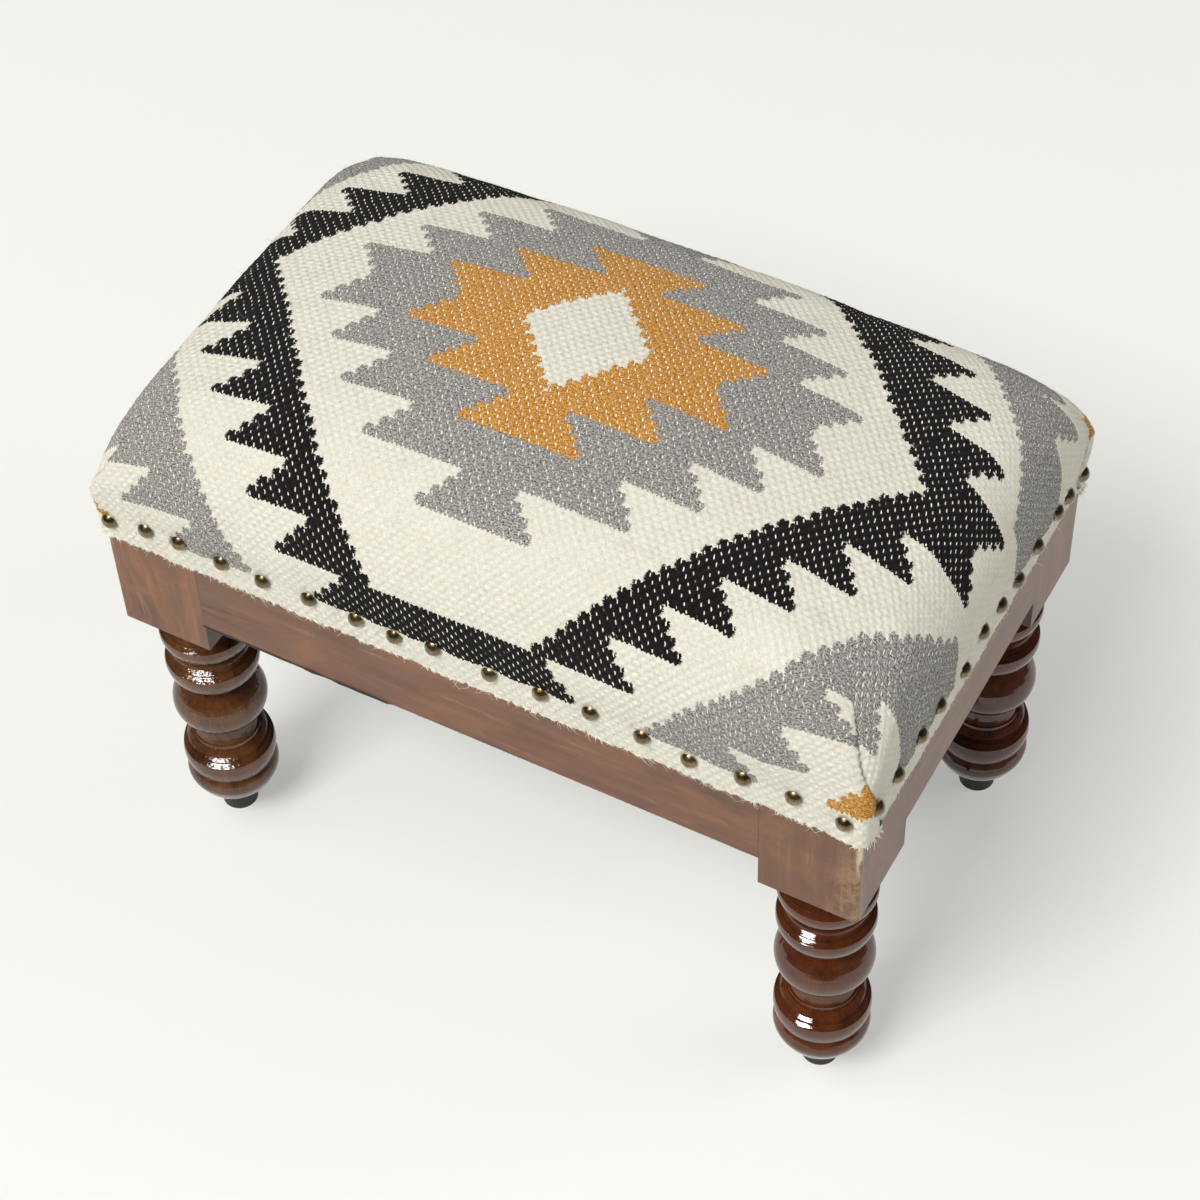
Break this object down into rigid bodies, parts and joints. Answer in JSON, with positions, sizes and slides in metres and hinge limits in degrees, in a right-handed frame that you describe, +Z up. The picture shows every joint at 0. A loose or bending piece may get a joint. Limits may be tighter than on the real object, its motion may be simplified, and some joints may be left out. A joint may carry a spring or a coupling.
{
  "type": "kilim footstool",
  "caption": "Low rectangular footstool with a crowned cushion under a woven kilim cover held by domed nails, on a box frame with turned screw-in legs.",
  "frame": {"origin": "on the floor, under the middle of the stool, at the height of the feet's bottoms", "axes": "+X along the long side, +Y from the front to the back, +Z up"},
  "size_m": [0.4178, 0.2618, 0.3337],
  "materials": {
    "frame_wood": "satin",
    "dowel_wood": "matte",
    "leg_wood": "gloss",
    "plywood": "matte",
    "foot_rubber": "matte",
    "zinc_steel": "satin",
    "insert_brass": "satin",
    "antique_brass": "satin",
    "foam": "matte",
    "wadding": "matte",
    "kilim": "matte",
    "dust_cloth": "matte"
  },
  "bodies": {
    "root": {"corner_block_front_left": "frame_wood", "corner_block_front_right": "frame_wood", "corner_block_back_left": "frame_wood", "corner_block_back_right": "frame_wood", "rail_front": "frame_wood", "rail_back": "frame_wood", "rail_left": "frame_wood", "rail_right": "frame_wood", "rail_dowels": "dowel_wood", "leg_front_left": "leg_wood", "leg_front_right": "leg_wood", "leg_back_left": "leg_wood", "leg_back_right": "leg_wood", "foot_front_left": "foot_rubber", "foot_front_right": "foot_rubber", "foot_back_left": "foot_rubber", "foot_back_right": "foot_rubber", "foot_screws": "zinc_steel", "hanger_bolts": "zinc_steel", "threaded_inserts": "insert_brass", "seat_deck": "plywood", "deck_screws": "zinc_steel", "foam_pad": "foam", "wadding": "wadding", "kilim_cover": "kilim", "nails_front": "antique_brass", "nails_back": "antique_brass", "nails_left": "antique_brass", "nails_right": "antique_brass", "dust_cover": "dust_cloth", "dust_cover_staples": "zinc_steel"}
  },
  "joints": []
}
